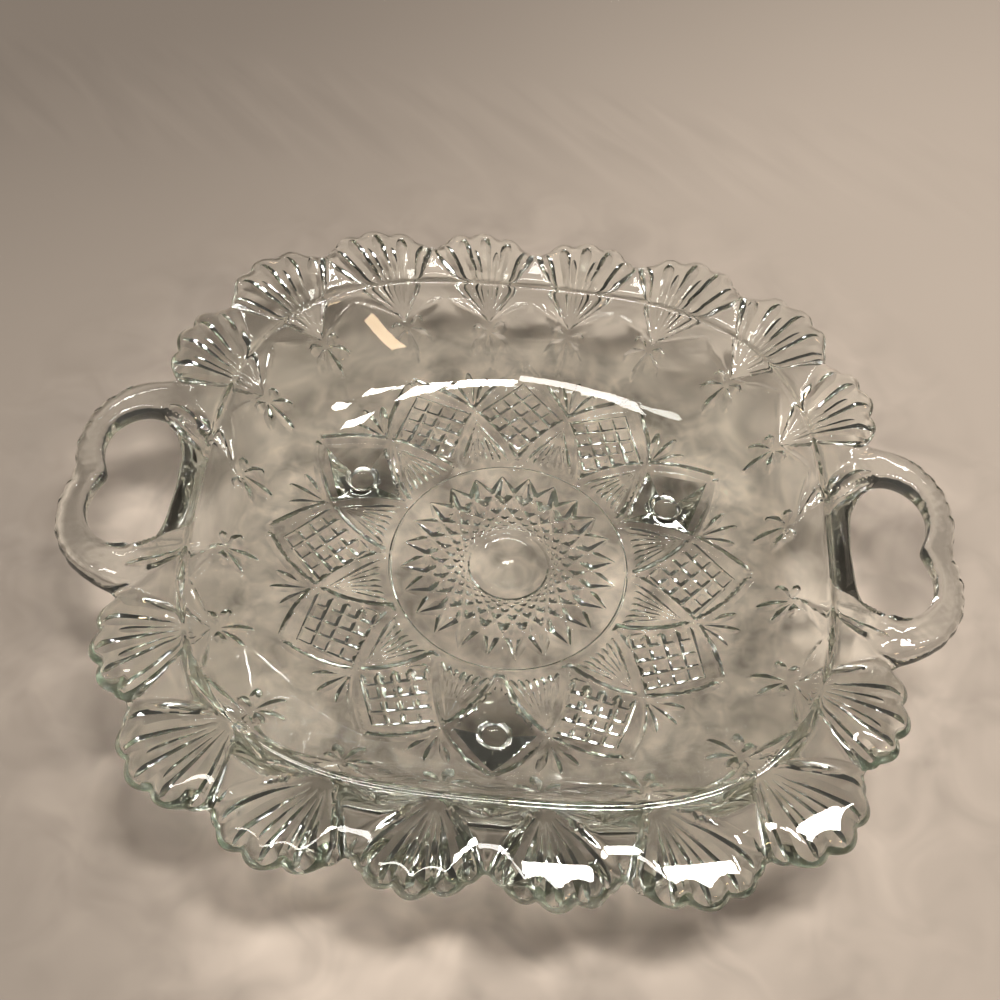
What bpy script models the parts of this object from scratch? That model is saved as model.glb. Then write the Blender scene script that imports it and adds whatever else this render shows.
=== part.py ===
"""Pressed-glass candy dish: a square-shouldered bowl on three stub feet, with a flat
scalloped rim of sixteen fans and two loop handles.

Millimetres are used for every driving dimension and turned into metres when a mesh is made.
Frame: +Z up, the table at z = 0, the middle of the bowl at x = y = 0, the handles on the X axis.
"""
import bpy
import bmesh
import math
import numpy as np

MM = 0.001
GAP = 0.3                  # clearance left between neighbouring pieces

# Plan of the bowl: superellipses |x/a|^n + |y/b|^n = 1
RIDGE_A, RIDGE_B, RIDGE_N = 70.8, 68.6, 3.0     # crease between bowl wall and rim
RIM_A, RIM_B, RIM_N = 90.5, 90.5, 3.1           # tips of the fans
RHO_RIDGE = 70.0                                # nominal radius of the ridge in the profiles below

# Bowl profile (nominal radius, height): inside face, then outside face
INSIDE = [(0, 9.6), (16, 9.7), (30, 9.9), (42, 10.5), (50, 11.8), (56, 14.2), (60, 17.0), (64, 21.2),
          (67.2, 25.8), (70, 30.6)]
OUTSIDE = [(0, 4.6), (16, 4.7), (30, 5.0), (42, 5.5), (50, 6.3), (54, 7.0), (57, 8.2), (60, 10.2), (64, 14.0),
           (66.5, 16.6), (70, 20.3), (75, 25.6), (80, 30.9)]
BUTTON_R, BUTTON_DROP = 8.2, 1.3                # dome in the middle of the underside

# Rim: share of the way from ridge to edge, height of the upper face
RIM_TOP = [(0, 30.6), (0.12, 31.2), (0.25, 31.5), (0.57, 31.4), (0.80, 30.9), (0.93, 30.3), (1.0, 29.7)]
BAY_UNDER = 27.6           # underside of the plain bays between fans
EDGE_UNDER = 27.6          # underside close to the edge
ROOT_Z = 20.3              # underside of a fan at its root on the wall
EDGE_MID = 29.0            # middle of the rounded edge
SLOTS = 20                 # angular divisions of the rim, sixteen of them fans
LOBES = [(0.0, 0.0, 0.15), (6.2, 1.35, 0.16), (10.6, 4.5, 0.26)]   # sideways place, set back, sharpness of each lobe
BAY_BACK = 6.5             # set back of the edge in the bays
FAN_STEPS = 14             # mesh columns across one fan
HANDLE_HALF = 18.0         # half angle taken by a handle, degrees

# Handle loop, plan points of one half (x, y); mirrored in y
HANDLE_OUT = [(101.6, 0.0), (102.6, 4.0), (103.3, 9.0), (102.3, 15.0), (99.6, 20.6), (95.6, 25.0),
              (91.0, 27.8), (86.6, 28.6)]
HOLE_HALF = [(93.9, 0.0), (94.6, 2.2), (95.7, 5.4), (96.1, 8.8), (95.5, 12.2), (93.6, 15.3), (90.5, 17.5),
             (86.4, 18.2), (82.8, 16.7), (80.4, 13.0), (79.1, 7.0), (78.7, 0.0)]
HANDLE_TOP, HANDLE_UNDER = 31.8, 26.4
HANDLE_MID = (87.0, 0.0)
HANDLE_STEPS = 48

# Feet: kite-shaped stubs under three of the floor's petals
FOOT_ANGLES = {"foot_front": 270.0, "foot_back_right": 30.0, "foot_back_left": 150.0}
FOOT_R = 45.2              # distance of a foot from the middle
FOOT_TIP_R = 3.0           # radius of the flat end
FOOT_KITE = (12.0, 9.6, 12.2)  # reach outwards, sideways and inwards at the top
FOOT_SIDES = 16

BOWL_STEPS = 72


def ridge_r(th):
    return (np.abs(np.cos(th) / RIDGE_A) ** RIDGE_N + np.abs(np.sin(th) / RIDGE_B) ** RIDGE_N) ** (-1 / RIDGE_N)


def rim_r(th):
    return (np.abs(np.cos(th) / RIM_A) ** RIM_N + np.abs(np.sin(th) / RIM_B) ** RIM_N) ** (-1 / RIM_N)


def curve(points, x):
    """Smooth curve through profile points (monotone cubic)."""
    px = np.array([p[0] for p in points], float)
    py = np.array([p[1] for p in points], float)
    h = np.diff(px)
    d = np.diff(py) / h
    m = np.zeros(len(px))
    m[0], m[-1] = d[0], d[-1]
    for i in range(1, len(px) - 1):
        if d[i - 1] * d[i] > 0:
            w1, w2 = 2 * h[i] + h[i - 1], h[i] + 2 * h[i - 1]
            m[i] = (w1 + w2) / (w1 / d[i - 1] + w2 / d[i])
    x = np.clip(x, px[0], px[-1])
    k = np.clip(np.searchsorted(px, x) - 1, 0, len(h) - 1)
    t = (x - px[k]) / h[k]
    return ((1 + 2 * t) * (1 - t) ** 2 * py[k] + t * (1 - t) ** 2 * h[k] * m[k]
            + t * t * (3 - 2 * t) * py[k + 1] + t * t * (t - 1) * h[k] * m[k + 1])


def rho_of(x, y):
    """Nominal radius: scaled inside the ridge, plain distance outside it."""
    th, r = math.atan2(y, x), math.hypot(x, y)
    rr = float(ridge_r(th))
    return RHO_RIDGE * r / rr if r <= rr else RHO_RIDGE + r - rr


def underside(x, y):
    """Outside face of the bowl with the dome of the middle button."""
    z = float(curve(OUTSIDE, rho_of(x, y)))
    r = math.hypot(x, y)
    if r < BUTTON_R:
        z -= BUTTON_DROP * (1 - (r / BUTTON_R) ** 2)
    return z


def fan_offset(th):
    """Sideways distance from the middle of the nearest fan, in mm along the edge."""
    pitch = 2 * math.pi / SLOTS
    k = math.floor(th / pitch) + 0.5
    return (th - k * pitch) * 90.0


def edge_r(th):
    """Edge of the rim: each fan is a low arch of five lobes with a hollow bay on each side."""
    q = abs(fan_offset(th))
    lobes = [-back - sharp * (q - at) ** 2 for at, back, sharp in LOBES]
    bay = 0.08 * min(max(14.14 - q, 0.0), 3.2) ** 2 - BAY_BACK
    return float(rim_r(th)) + max(lobes + [bay])


def fan_under(th, v):
    """Underside of the rim: fans swell down towards their root on the wall, bays stay thin."""
    rr, re = float(ridge_r(th)), float(rim_r(th))
    p = v * (re - rr)
    wall = float(curve(OUTSIDE, RHO_RIDGE + p))
    fan = ROOT_Z + (EDGE_UNDER - ROOT_Z) * v
    spread = math.degrees(math.atan2(abs(fan_offset(th)) * (rr + p) / 90.0, p + 1e-6))
    g = min(1.0, max(0.0, (spread - 30.0) / 20.0))
    g = g * g * (3 - 2 * g)
    return min(wall, fan + (BAY_UNDER - fan) * g)


def glass(name):
    mat = bpy.data.materials.new(name)
    mat.use_nodes = True
    bsdf = mat.node_tree.nodes["Principled BSDF"]
    bsdf.inputs["Base Color"].default_value = (0.93, 0.95, 0.93, 1)
    bsdf.inputs["Roughness"].default_value = 0.02
    bsdf.inputs["Metallic"].default_value = 0.0
    bsdf.inputs["IOR"].default_value = 1.51
    bsdf.inputs["Transmission Weight"].default_value = 1.0
    return mat


def finish(name, bm, mat, parent, smooth=35):
    """Turns a bmesh in millimetres into a named object in metres."""
    bmesh.ops.recalc_face_normals(bm, faces=bm.faces)
    bmesh.ops.scale(bm, vec=(MM, MM, MM), verts=bm.verts)
    mesh = bpy.data.meshes.new(name)
    bm.to_mesh(mesh)
    bm.free()
    mesh.shade_smooth()
    mesh.set_sharp_from_angle(angle=math.radians(smooth))
    mesh.materials.append(mat)
    ob = bpy.data.objects.new(name, mesh)
    bpy.context.scene.collection.objects.link(ob)
    ob.parent = parent
    return ob


def strip(bm, a, b, closed=True):
    """Faces between two rows of vertices."""
    n = len(a)
    for i in range(n if closed else n - 1):
        j = (i + 1) % n
        bm.faces.new((a[i], a[j], b[j], b[i]))


def row(bm, points):
    return [bm.verts.new(p) for p in points]


def fan_cap(bm, ring, point):
    mid = bm.verts.new(point)
    for i in range(len(ring)):
        bm.faces.new((ring[i], ring[(i + 1) % len(ring)], mid))


def build_basin(parent):
    """Bowl: floor and wall up to the ridge, cut off there by an upright face."""
    bm = bmesh.new()
    th = np.arange(BOWL_STEPS) * 2 * np.pi / BOWL_STEPS
    rr = ridge_r(th)
    edge = RHO_RIDGE - GAP / 2
    inner_rho = [16, 30, 42, 50, 53, 56, 60, 64, 67.2, edge]
    outer_rho = [edge, 66.5, 64, 60, 57, 54, 50, 42, 30, 16, 8.0, 5.5, 2.8]
    last = None
    for rho in inner_rho:
        z = float(curve(INSIDE, rho))
        ring = row(bm, [(r * rho / RHO_RIDGE * math.cos(t), r * rho / RHO_RIDGE * math.sin(t), z)
                        for t, r in zip(th, rr)])
        if last is None:
            fan_cap(bm, ring, (0, 0, float(curve(INSIDE, 0))))
        else:
            strip(bm, last, ring)
        last = ring
    for rho in outer_rho:
        pts = []
        for t, r in zip(th, rr):
            x, y = r * rho / RHO_RIDGE * math.cos(t), r * rho / RHO_RIDGE * math.sin(t)
            pts.append((x, y, underside(x, y)))
        ring = row(bm, pts)
        strip(bm, last, ring)
        last = ring
    fan_cap(bm, last, (0, 0, underside(0, 0)))
    return finish("basin", bm, glass("glass_basin"), parent)


def rim_section(th):
    """Closed section of the rim along one radius, in mm."""
    rr = float(ridge_r(th)) + GAP / 2
    re = edge_r(th)
    full = float(rim_r(th))
    pts = []
    for u in (0.0, 0.2, 0.5, 0.8, 0.93):
        r = rr + u * (re - rr)
        pts.append((r, float(curve(RIM_TOP, u))))
    pts.append((re, EDGE_MID))
    for u in (0.93, 0.72, 0.48, 0.28, 0.12, 0.0):
        r = rr + u * (re - rr)
        v = (r - rr) / (full - rr)
        pts.append((r, fan_under(th, v)))
    return [(r * math.cos(th), r * math.sin(th), z) for r, z in pts]


def build_rim(name, start, parent):
    """Half of the scalloped rim: eight fans between the two handles."""
    bm = bmesh.new()
    fans = 8
    clear = (GAP / 2) / 80.0
    th = np.linspace(start, start + math.pi - 2 * math.radians(HANDLE_HALF), fans * FAN_STEPS + 1)
    th[0] += clear
    th[-1] -= clear
    rows = [row(bm, rim_section(float(t))) for t in th]
    for a, b in zip(rows, rows[1:]):
        strip(bm, a, b)
    bm.faces.new(rows[0])
    bm.faces.new(list(reversed(rows[-1])))
    return finish(name, bm, glass("glass_" + name), parent)


def smooth_loop(half, steps):
    """Half outline (x, y) mirrored in y and resampled by angle around the middle of the handle."""
    pts = [(x, y) for x, y in half] + [(x, -y) for x, y in reversed(half) if y > 1e-9]
    ang = np.array([math.atan2(y - HANDLE_MID[1], x - HANDLE_MID[0]) for x, y in pts]) % (2 * math.pi)
    rad = np.array([math.hypot(x - HANDLE_MID[0], y - HANDLE_MID[1]) for x, y in pts])
    order = np.argsort(ang)
    ang, rad = ang[order], rad[order]
    psi = np.arange(steps) * 2 * np.pi / steps
    return psi, np.interp(psi, np.r_[ang[-1] - 2 * np.pi, ang, ang[0] + 2 * np.pi], np.r_[rad[-1], rad, rad[0]])


def handle_reach(psi):
    """Distance from the middle of the handle to the border of its piece: the ridge, the two cut
    faces next to the rim, or the outer outline of the loop."""
    cx = HANDLE_MID[0]
    dx, dy = math.cos(psi), math.sin(psi)
    reach = 60.0
    # two cut faces along the radii at +-HANDLE_HALF
    clear = (GAP / 2) / 80.0
    for sgn in (1, -1):
        a = sgn * (math.radians(HANDLE_HALF) - clear)
        nx, ny = -math.sin(a) * sgn, math.cos(a) * sgn
        den = nx * dx + ny * dy
        if den > 1e-9:
            reach = min(reach, -(nx * cx) / den)
    # ridge
    lo, hi = 0.0, reach
    for _ in range(50):
        mid = 0.5 * (lo + hi)
        x, y = cx + mid * dx, mid * dy
        if math.hypot(x, y) > float(ridge_r(math.atan2(y, x))) + GAP / 2:
            lo = mid
        else:
            hi = mid
    reach = min(reach, hi)
    # outer outline, closed back to the cut faces at the edge of the rim
    pts = list(HANDLE_OUT)
    pts = [(x, -y) for x, y in reversed(pts) if y > 1e-9] + pts
    for (x0, y0), (x1, y1) in zip(pts, pts[1:]):
        ex, ey = x1 - x0, y1 - y0
        den = dx * ey - dy * ex
        if abs(den) < 1e-12:
            continue
        t = ((x0 - cx) * ey - y0 * ex) / den
        s = ((x0 - cx) * dy - y0 * dx) / den
        if t > 0 and -1e-9 <= s <= 1 + 1e-9:
            reach = min(reach, t)
    return reach


def build_handle(name, side, parent):
    """Loop handle: the part of the rim around a heart-shaped finger hole, with rounded edges."""
    bm = bmesh.new()
    psi, hole = smooth_loop(HOLE_HALF, HANDLE_STEPS)
    reach = np.array([handle_reach(float(p)) for p in psi])

    def at(p, d, z):
        x, y = HANDLE_MID[0] + d * math.cos(p), HANDLE_MID[1] + d * math.sin(p)
        return (side * x, y, z)

    def on_wall(p, d):
        x, y = HANDLE_MID[0] + d * math.cos(p), d * math.sin(p)
        return min(HANDLE_UNDER, float(curve(OUTSIDE, rho_of(x, y))))

    def free(p, d):
        """True where the border is the loop's own outer edge and not a cut face."""
        x, y = HANDLE_MID[0] + d * math.cos(p), d * math.sin(p)
        return math.hypot(x, y) > 89.0

    def rim_top(p, d):
        x, y = HANDLE_MID[0] + d * math.cos(p), d * math.sin(p)
        out = math.hypot(x, y) - float(ridge_r(math.atan2(y, x)))
        return 30.7 + (HANDLE_TOP - 30.7) * min(1.0, max(0.0, out / 9.0))

    rings = []
    mid = HANDLE_UNDER + 0.5 * (HANDLE_TOP - HANDLE_UNDER)
    rings.append([at(p, h, mid) for p, h in zip(psi, hole)])
    rings.append([at(p, h + 0.18 * (r - h), min(HANDLE_TOP, rim_top(p, h + 0.18 * (r - h)))) for p, h, r in zip(psi, hole, reach)])
    rings.append([at(p, h + 0.72 * (r - h), rim_top(p, h + 0.72 * (r - h))) for p, h, r in zip(psi, hole, reach)])
    rings.append([at(p, r, mid + 0.9 if free(p, r) else rim_top(p, r)) for p, r in zip(psi, reach)])
    rings.append([at(p, r, mid - 0.9 if free(p, r) else on_wall(p, r)) for p, r in zip(psi, reach)])
    rings.append([at(p, h + 0.72 * (r - h), on_wall(p, h + 0.72 * (r - h))) for p, h, r in zip(psi, hole, reach)])
    rings.append([at(p, h + 0.18 * (r - h), on_wall(p, h + 0.18 * (r - h))) for p, h, r in zip(psi, hole, reach)])
    rows = [row(bm, ring) for ring in rings]
    for a, b in zip(rows, rows[1:] + rows[:1]):
        strip(bm, a, b)
    return finish(name, bm, glass("glass_" + name), parent)


def build_foot(name, angle, parent):
    """Stub foot: a kite at the floor tapering to a small round flat end."""
    bm = bmesh.new()
    a = math.radians(angle)
    ux, uy = math.cos(a), math.sin(a)
    out, side, inn = FOOT_KITE
    cx, cy = FOOT_R * ux, FOOT_R * uy
    inner, half, most, top, mid, low, base = [], [], [], [], [], [], []
    for i in range(FOOT_SIDES):
        t = 2 * math.pi * i / FOOT_SIDES
        # kite outline: straight sides between the outer tip, the two sides and the inner tip
        reach = out if math.cos(t) >= 0 else inn
        d = 1.0 / (abs(math.cos(t)) / reach + abs(math.sin(t)) / side)
        p, q = d * math.cos(t), d * math.sin(t)
        x, y = cx + p * ux - q * uy, cy + p * uy + q * ux
        top.append((x, y, underside(x, y) - GAP))
        # the top face follows the bowl's curve
        for f, keep in ((0.86, most), (0.7, half), (0.35, inner)):
            fx, fy = cx + f * (x - cx), cy + f * (y - cy)
            keep.append((fx, fy, underside(fx, fy) - GAP))
        bp, bq = FOOT_TIP_R * math.cos(t), FOOT_TIP_R * math.sin(t)
        for f, z, keep in ((0.42, 2.6, mid), (0.06, 0.5, low)):
            pp, qq = bp + (p - bp) * f, bq + (q - bq) * f
            keep.append((cx + pp * ux - qq * uy, cy + pp * uy + qq * ux, z))
        bp, bq = bp * 0.9, bq * 0.9
        base.append((cx + bp * ux - bq * uy, cy + bp * uy + bq * ux, 0.0))
    rows = [row(bm, r) for r in (inner, half, most, top, mid, low, base)]
    for r0, r1 in zip(rows, rows[1:]):
        strip(bm, r0, r1)
    fan_cap(bm, rows[0], (cx, cy, underside(cx, cy) - GAP))
    bm.faces.new(rows[-1])
    return finish(name, bm, glass("glass_" + name), parent)


def main():
    for ob in list(bpy.data.objects):
        bpy.data.objects.remove(ob, do_unlink=True)
    root = bpy.data.objects.new("candy_dish", None)
    bpy.context.scene.collection.objects.link(root)
    build_basin(root)
    build_rim("fan_rim_back", math.radians(HANDLE_HALF), root)
    build_rim("fan_rim_front", math.pi + math.radians(HANDLE_HALF), root)
    build_handle("handle_right", 1, root)
    build_handle("handle_left", -1, root)
    for name, angle in FOOT_ANGLES.items():
        build_foot(name, angle, root)


main()
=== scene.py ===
import math

import bpy
import numpy as np
from mathutils import Matrix, Vector
from mathutils.geometry import delaunay_2d_cdt


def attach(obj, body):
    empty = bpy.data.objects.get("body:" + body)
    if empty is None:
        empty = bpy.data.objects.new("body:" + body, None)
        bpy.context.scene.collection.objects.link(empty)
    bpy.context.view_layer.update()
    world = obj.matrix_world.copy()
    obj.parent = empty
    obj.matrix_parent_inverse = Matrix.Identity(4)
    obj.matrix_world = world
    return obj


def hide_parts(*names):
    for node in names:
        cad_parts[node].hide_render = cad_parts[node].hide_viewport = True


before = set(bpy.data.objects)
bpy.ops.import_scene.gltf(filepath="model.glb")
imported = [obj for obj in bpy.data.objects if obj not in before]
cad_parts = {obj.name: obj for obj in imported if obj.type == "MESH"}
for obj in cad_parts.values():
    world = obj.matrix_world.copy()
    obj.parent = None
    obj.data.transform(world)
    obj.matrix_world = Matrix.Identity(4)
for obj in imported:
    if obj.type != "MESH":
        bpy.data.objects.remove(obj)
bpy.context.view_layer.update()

MM = 0.001
TAU = 2 * math.pi

# ---------------------------------------------------------------- driving dimensions, in millimetres
RIDGE_A, RIDGE_B, RIDGE_N = 70.8, 68.6, 3.0
RIM_A, RIM_B, RIM_N = 90.4, 90.4, 3.1
RHO_RIDGE, FLOOR_ROUND, UNDER_ROUND = 70.0, 54.0, 44.0
INSIDE = [(0, 9.6), (16, 9.72), (30, 9.93), (38, 10.2), (42, 10.46), (45, 10.79), (48, 11.3), (50, 11.78), (52, 12.4),
          (54, 13.19), (56, 14.19), (58, 15.43), (60, 16.98), (62, 18.88), (64, 21.19), (66, 23.93), (68, 27.08), (70, 30.6)]
OUTSIDE = [(0, 4.6), (16, 4.7), (30, 5.0), (42, 5.5), (50, 6.3), (54, 7.0), (57, 8.2), (60, 10.2), (62, 12.0), (64, 14.0),
           (66, 16.1), (68, 18.2), (70, 20.3), (75, 25.6), (80, 30.9), (90, 41.5)]
RIM_TOP = [(-0.5, 30.1), (0, 30.6), (0.12, 31.0), (0.25, 31.42), (0.52, 31.38), (0.57, 31.33), (0.75, 30.93), (1.0, 30.37),
           (1.3, 29.7)]
DROOP, DROOP_W, VALLEY = 1.3, 3.8, 1.3
RIDGE_Z, RIDGE_SLOPE = 30.95, 0.41  # raised line along the ridge
HOLE_FALL, HOLE_UNDER, HOLE_RISE = 0.625, 19.2, 0.66  # upper face falling from the ridge to a finger hole, face below it
BAY_UNDER, BAY_RISE, EDGE_UNDER = 27.8, 0.27, 27.6
ROOT_RHO, ROOT_Z, SWAG_RHO = 69.0, 19.2, 73.2
HANDLE_TOP, HANDLE_UNDER = 31.5, 26.2
SLOT = TAU / 20
HANDLE_POLAR = [(-19.75, 90.3), (-19.07, 91.2), (-18.16, 93.0), (-16.99, 95.1), (-14.66, 98.7), (-11.69, 101.5),
                (-8.34, 103.1), (-4.98, 103.2), (-2.23, 102.3), (0, 101.5), (2.23, 102.3), (4.98, 103.2), (8.34, 103.1),
                (11.69, 101.5), (14.66, 98.7), (16.99, 95.1), (18.16, 93.0), (19.07, 91.2), (19.75, 90.3)]
HOLE_MID = 87.0
HOLE = [(93.9, 0.0), (94.6, 2.2), (95.7, 5.4), (96.1, 8.8), (95.5, 12.2), (93.6, 15.3), (90.5, 17.5), (86.4, 18.2),
        (82.8, 16.7), (80.4, 13.0), (79.1, 7.0), (78.7, 0.0)]
STAR_R, STAR_N, STAR_STEP = 26.2, 24, 9
PETAL_BASE, PETAL_CROSS, PETAL_TIP = 30.0, 47.1, 59.6
RING_R = 28.9
BUTTON_R, BUTTON_DROP = 8.2, 2.0
FOOT_R, FOOT_TIP_R, FOOT_APEX = 45.2, 3.0, -0.4
HAMMER = 0.05
ROOT_LINE = ((69.6, 11.0), (0.885, 0.466))  # crease from a fan root to the end of the finger hole: start and direction
FOOT_ANGLES = (30.0, 150.0, 270.0)
EDGE_W, HANDLE_W, HOLE_W, HOLE_OUT_W = 1.9, 2.2, 0.8, 2.0
BEAD_PITCH, BEAD_HIGH = 4.1, 0.35


# ---------------------------------------------------------------- small helpers
def pchip(points):
    px = np.array([p[0] for p in points], float)
    py = np.array([p[1] for p in points], float)
    h = np.diff(px)
    d = np.diff(py) / h
    m = np.zeros(len(px))
    m[0], m[-1] = d[0], d[-1]
    for i in range(1, len(px) - 1):
        if d[i - 1] * d[i] > 0:
            w1, w2 = 2 * h[i] + h[i - 1], h[i] + 2 * h[i - 1]
            m[i] = (w1 + w2) / (w1 / d[i - 1] + w2 / d[i])

    def f(x):
        x = np.clip(x, px[0], px[-1])
        k = np.clip(np.searchsorted(px, x) - 1, 0, len(h) - 1)
        t = (x - px[k]) / h[k]
        return ((1 + 2 * t) * (1 - t) ** 2 * py[k] + t * (1 - t) ** 2 * h[k] * m[k]
                + t * t * (3 - 2 * t) * py[k + 1] + t * t * (t - 1) * h[k] * m[k + 1])
    return f


def smoothstep(a, b, x):
    t = np.clip((x - a) / (b - a), 0, 1)
    return t * t * (3 - 2 * t)


def soft_min(a, b, k):
    """Lower of two heights, with a fillet of about k where they meet."""
    h = np.clip(0.5 + 0.5 * (a - b) / k, 0, 1)
    return a * (1 - h) + b * h - k * h * (1 - h)


def superellipse(th, a, b, n):
    return (np.abs(np.cos(th) / a) ** n + np.abs(np.sin(th) / b) ** n) ** (-1 / n)


def ridge_r(th):
    return superellipse(th, RIDGE_A, RIDGE_B, RIDGE_N)


def rim_r(th):
    return superellipse(th, RIM_A, RIM_B, RIM_N)


inside_z, outside_z, rim_top_z = pchip(INSIDE), pchip(OUTSIDE), pchip(RIM_TOP)
LOBES = ((0.0, 0.0, 0.15), (6.2, 1.35, 0.16), (10.6, 4.5, 0.26))  # sideways place, set back, sharpness of each lobe
handle_polar = pchip(HANDLE_POLAR)


def fan_q(th):
    """Sideways distance from the middle of the nearest division, mm along the edge."""
    return (th - (np.floor(th / SLOT) + 0.5) * SLOT) * 90.0


def from_handle(th):
    """Angle from the nearest handle's middle, in degrees, signed."""
    a = (np.degrees(th) + 180) % 360 - 180
    return np.where(np.abs(a) <= 90, a, np.where(a > 0, 180 - a, -180 - a))


def fan_edge(q):
    """Set back of the scalloped edge: five round lobes to a fan, then the bay between two fans."""
    q = np.abs(q)
    curves = [-back - sharp * (q - at) ** 2 for at, back, sharp in LOBES]
    curves.append(-6.5 + 0.08 * np.clip(14.14 - q, 0, 3.2) ** 2)
    k = 6.0
    return np.log(sum(np.exp(k * c) for c in curves)) / k


def outline_r(th):
    """Edge of the glass in plan: arched fans of five lobes, bays between them, and the two handle loops."""
    fans = rim_r(th) + fan_edge(fan_q(th))
    a = from_handle(th)
    inner = np.clip(a, -19.75, 19.75)
    beads = BEAD_HIGH * (np.abs(np.cos(math.pi * np.radians(inner) * 100.0 / BEAD_PITCH)) - 1)
    loop = handle_polar(inner) + beads * (1 - smoothstep(13.0, 17.0, np.abs(a)))
    return np.where(np.abs(a) < 19.75, loop, fans)


def hole_radius():
    """Heart-shaped finger hole as a smooth polar curve around its middle."""
    pts = HOLE + [(x, -y) for x, y in reversed(HOLE[1:-1])]
    ang = np.unwrap([math.atan2(y, x - HOLE_MID) for x, y in pts])
    rad = np.array([math.hypot(x - HOLE_MID, y) for x, y in pts])
    n = len(pts)
    a = np.concatenate([ang - TAU, ang, ang + TAU])
    r = np.concatenate([rad, rad, rad])
    # Catmull-Rom in polar form
    m = np.gradient(r, a)

    def f(psi):
        psi = np.mod(psi, TAU)
        k = np.clip(np.searchsorted(a, psi) - 1, 0, len(a) - 2)
        h = a[k + 1] - a[k]
        t = (psi - a[k]) / h
        return ((1 + 2 * t) * (1 - t) ** 2 * r[k] + t * (1 - t) ** 2 * h * m[k]
                + t * t * (3 - 2 * t) * r[k + 1] + t * t * (t - 1) * h * m[k + 1])
    return f


hole_r = hole_radius()


def inside_domain(P):
    th = np.arctan2(P[:, 1], P[:, 0])
    ok = np.hypot(P[:, 0], P[:, 1]) < outline_r(th)
    for s in (1, -1):
        dx, dy = s * P[:, 0] - HOLE_MID, P[:, 1]
        ok &= np.hypot(dx, dy) > hole_r(np.arctan2(dy, dx))
    return ok


def resample(P, step):
    """Closed curve at even spacing."""
    Q = np.vstack([P, P[:1]])
    s = np.r_[0, np.cumsum(np.hypot(*np.diff(Q, axis=0).T))]
    n = max(8, int(round(s[-1] / step)))
    t = np.arange(n) * s[-1] / n
    return np.stack([np.interp(t, s, Q[:, 0]), np.interp(t, s, Q[:, 1])], -1)


th_dense = np.linspace(0, TAU, 60001)[:-1]
rd = outline_r(th_dense)
OUTLINE = resample(np.stack([rd * np.cos(th_dense), rd * np.sin(th_dense)], -1), 0.36)
hd = hole_r(th_dense)
HOLE_R = resample(np.stack([HOLE_MID + hd * np.cos(th_dense), hd * np.sin(th_dense)], -1), 0.42)
HOLE_L = np.stack([-HOLE_R[:, 0], HOLE_R[:, 1]], -1)
BOUNDS = [OUTLINE, HOLE_R, HOLE_L]


def resample_sets(loops):
    """Boundary polylines sampled finely, so that the distance to the points is the distance to the lines."""
    return np.vstack([resample(P, step) for P, step in loops])


class Near:
    """Distance to the nearest boundary point, by buckets."""

    def __init__(self, P, cell=4.5):
        P = resample_sets(P)
        self.P, self.cell = P, cell
        key = np.floor(P / cell).astype(int)
        self.grid = {}
        for i, k in enumerate(map(tuple, key)):
            self.grid.setdefault(k, []).append(i)

    def distance(self, Q, far=4.5):
        out = np.full(len(Q), far)
        key = np.floor(Q / self.cell).astype(int)
        order = np.lexsort((key[:, 1], key[:, 0]))
        ks = key[order]
        cut = np.flatnonzero(np.any(np.diff(ks, axis=0), axis=1)) + 1
        for part in np.split(order, cut):
            kx, ky = key[part[0]]
            ids = [i for dx in (-1, 0, 1) for dy in (-1, 0, 1) for i in self.grid.get((kx + dx, ky + dy), ())]
            if not ids:
                continue
            B = self.P[ids]
            d = np.hypot(Q[part, 0][:, None] - B[:, 0], Q[part, 1][:, None] - B[:, 1]).min(1)
            out[part] = np.minimum(far, d)
        return out


NEAR = Near([(b, 0.06) for b in BOUNDS])
NEAR_RIM = Near([(OUTLINE, 0.15)], cell=DROOP_W + 0.2)


# ---------------------------------------------------------------- the smooth faces of the glass
def polar(P):
    """Angle, radius, ridge radius there, and the level rho: round over the floor, square-cornered at the ridge."""
    x, y = P[:, 0], P[:, 1]
    th, r = np.arctan2(y, x), np.hypot(x, y)
    rr = ridge_r(th)
    reach = rr - FLOOR_ROUND
    rho_in = r - (reach - RHO_RIDGE + FLOOR_ROUND) * (np.maximum(r - FLOOR_ROUND, 0) / reach) ** 2
    rho = np.where(r <= rr, rho_in, RHO_RIDGE + r - rr)
    return th, r, rr, rho


def rho_under(r, rr):
    """Level for the outside of the bowl, whose corners turn square lower down."""
    reach = rr - UNDER_ROUND
    inner = r - (reach - RHO_RIDGE + UNDER_ROUND) * (np.maximum(r - UNDER_ROUND, 0) / reach) ** 1.3
    return np.where(r <= rr, inner, RHO_RIDGE + r - rr)


def handle_share(th, r, rr):
    a = np.abs(from_handle(th))
    return (1 - smoothstep(14.0, 20.5, a)) * smoothstep(4.5, 14.0, r - rr)


def hole_gap(P):
    """Distance beyond the edge of the nearer finger hole."""
    dx, dy = np.abs(P[:, 0]) - HOLE_MID, P[:, 1]
    d = np.hypot(dx, dy)
    return np.where(d < 30, d - hole_r(np.arctan2(dy, dx)), 9.0)


def hole_side(P):
    """Share of the patch between the ridge and a finger hole, bounded by the creases from the two fan roots beside it."""
    ax, ay = np.abs(P[:, 0]), np.abs(P[:, 1])
    side = (ax - ROOT_LINE[0][0]) * ROOT_LINE[1][1] - (ay - ROOT_LINE[0][1]) * ROOT_LINE[1][0]
    return smoothstep(-0.5, 0.5, side) * (1 - smoothstep(82.0, 85.5, ax)) * (ax > 60)


def hammered(P):
    """Shallow dimples left by the mould on the handles."""
    x, y = P[:, 0], P[:, 1]
    return (np.sin(1.9 * x + 1.3 * np.sin(0.8 * y)) * np.sin(1.7 * y + 1.1 * np.sin(0.9 * x))
            + 0.6 * np.sin(2.7 * y - 1.1 * x + 0.8 * np.sin(1.3 * y)))


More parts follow.
